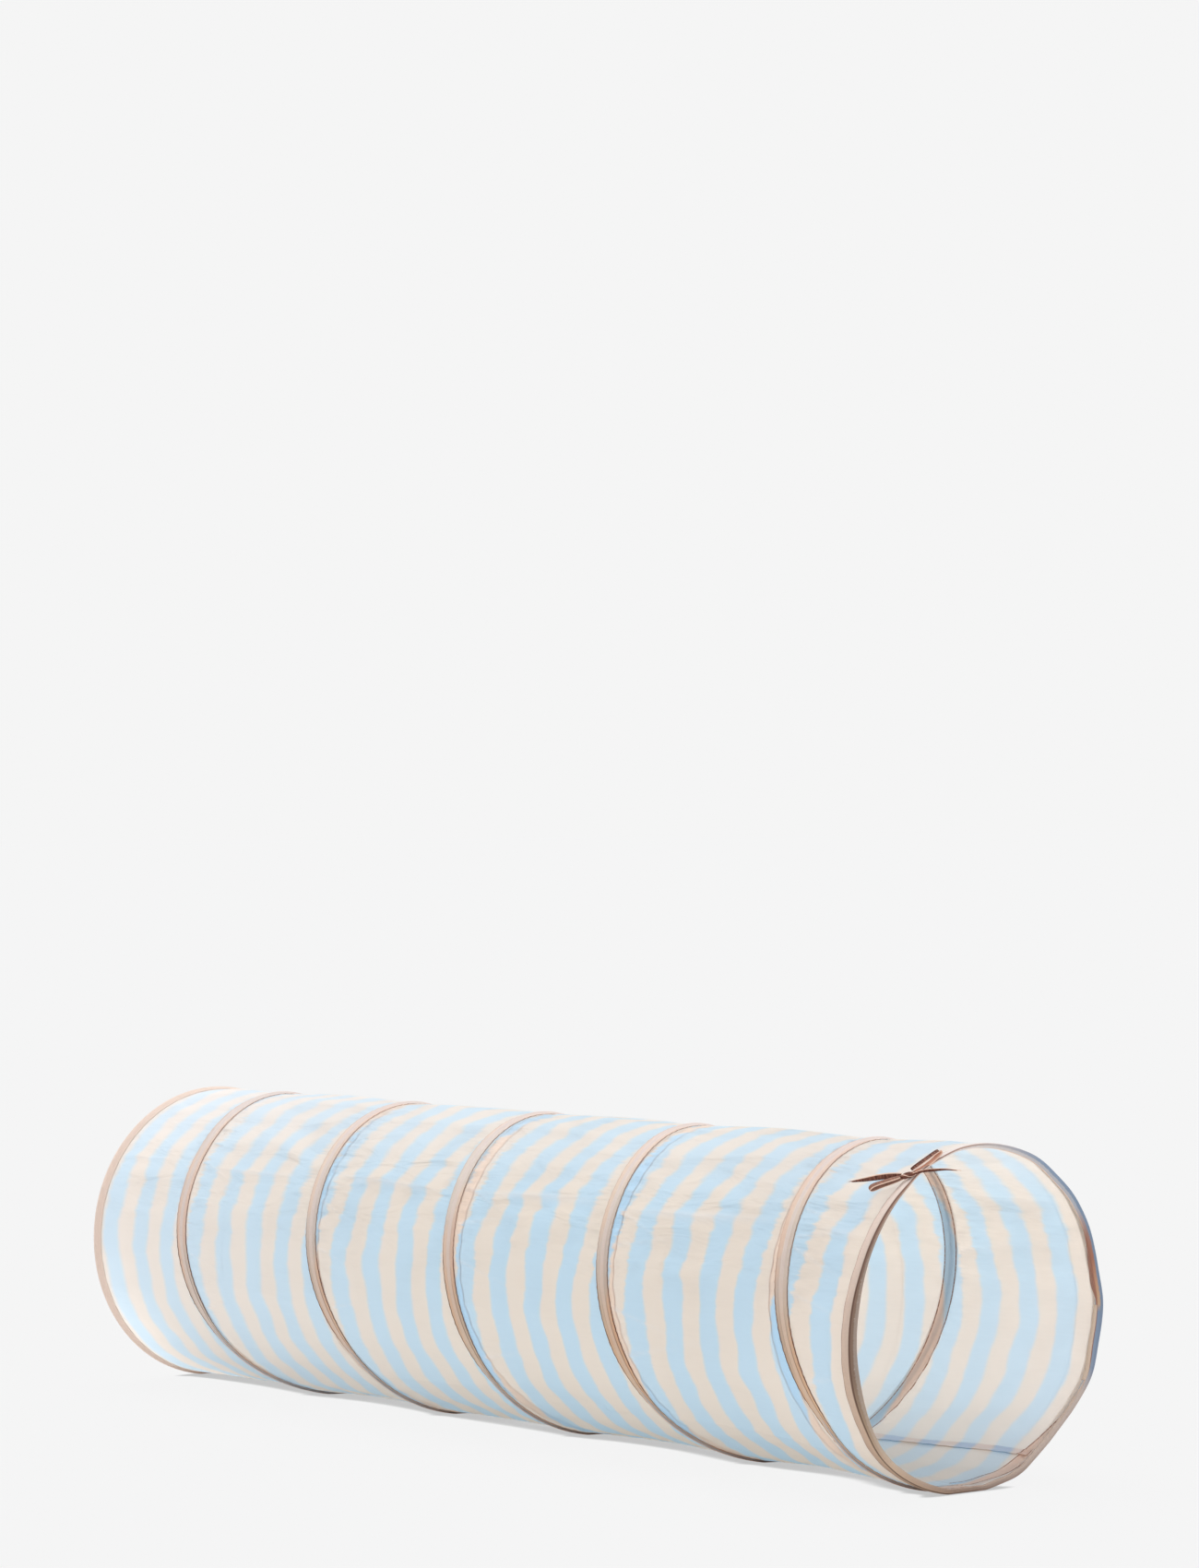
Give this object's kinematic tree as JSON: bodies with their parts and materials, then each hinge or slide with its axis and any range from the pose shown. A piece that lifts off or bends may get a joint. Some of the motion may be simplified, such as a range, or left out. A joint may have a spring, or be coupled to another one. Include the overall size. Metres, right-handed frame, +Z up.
{
  "type": "kids play tunnel",
  "caption": "Striped fabric play tunnel that folds flat, held open by a sprung wire helix in tape casings, with a closed ring at each mouth.",
  "frame": {"origin": "centre of the tunnel's footprint, on the floor that it lies on, measured without the bow of tie ribbon", "axes": "+X along the tunnel towards the front mouth, +Z up"},
  "size_m": [1.8338, 0.4618, 0.4623],
  "materials": {
    "striped_fabric": "thin plain-weave polyester in light blue and beige stripes",
    "casing_tape": "woven binding tape in a pinkish tan",
    "spring_wire": "drawn spring steel",
    "joining_sleeve": "matt tan plastic tube",
    "tie_ribbon": "narrow woven ribbon in brown"
  },
  "bodies": {
    "front_end": {"front_ring_casing": "casing_tape", "front_ring_wire": "spring_wire", "front_joining_sleeve": "joining_sleeve", "fabric_collar_front": "striped_fabric", "seam_collar_front": "striped_fabric", "casing_lead_in": "casing_tape", "wire_lead_in": "spring_wire", "bow_knot": "tie_ribbon", "bow_loop_lower": "tie_ribbon", "bow_loop_upper": "tie_ribbon", "bow_tail_left": "tie_ribbon", "bow_tail_right": "tie_ribbon"},
    "turn_1": {"casing_turn_1": "casing_tape", "wire_turn_1": "spring_wire", "fabric_panel_1": "striped_fabric", "seam_panel_1": "striped_fabric"},
    "turn_2": {"casing_turn_2": "casing_tape", "wire_turn_2": "spring_wire", "fabric_panel_2": "striped_fabric", "seam_panel_2": "striped_fabric"},
    "turn_3": {"casing_turn_3": "casing_tape", "wire_turn_3": "spring_wire", "fabric_panel_3": "striped_fabric", "seam_panel_3": "striped_fabric"},
    "turn_4": {"casing_turn_4": "casing_tape", "wire_turn_4": "spring_wire", "fabric_panel_4": "striped_fabric", "seam_panel_4": "striped_fabric"},
    "rear_end": {"casing_turn_5": "casing_tape", "wire_turn_5": "spring_wire", "fabric_panel_5": "striped_fabric", "seam_panel_5": "striped_fabric", "rear_ring_casing": "casing_tape", "rear_ring_wire": "spring_wire", "rear_joining_sleeve": "joining_sleeve", "fabric_collar_rear": "striped_fabric", "seam_collar_rear": "striped_fabric"}
  },
  "joints": [
    {"name": "turn_1_closes", "type": "slide", "parent": "front_end", "child": "turn_1", "axis": [1, 0, 0], "range_m": [0, 0.3407], "stiffness_N_per_m": 50, "springref_m": -0.05, "deforming": ["casing_turn_1", "wire_turn_1", "fabric_panel_1", "seam_panel_1"]},
    {"name": "turn_2_closes", "type": "slide", "parent": "turn_1", "child": "turn_2", "axis": [1, 0, 0], "range_m": [0, 0.3407], "stiffness_N_per_m": 50, "springref_m": -0.05, "deforming": ["casing_turn_2", "wire_turn_2", "fabric_panel_2", "seam_panel_2"]},
    {"name": "turn_3_closes", "type": "slide", "parent": "turn_2", "child": "turn_3", "axis": [1, 0, 0], "range_m": [0, 0.3407], "stiffness_N_per_m": 50, "springref_m": -0.05, "deforming": ["casing_turn_3", "wire_turn_3", "fabric_panel_3", "seam_panel_3"]},
    {"name": "turn_4_closes", "type": "slide", "parent": "turn_3", "child": "turn_4", "axis": [1, 0, 0], "range_m": [0, 0.3407], "stiffness_N_per_m": 50, "springref_m": -0.05, "deforming": ["casing_turn_4", "wire_turn_4", "fabric_panel_4", "seam_panel_4"]},
    {"name": "turn_5_closes", "type": "slide", "parent": "turn_4", "child": "rear_end", "axis": [1, 0, 0], "range_m": [0, 0.3227], "stiffness_N_per_m": 50, "springref_m": -0.05, "deforming": ["casing_turn_5", "wire_turn_5", "fabric_panel_5", "seam_panel_5"]}
  ]
}
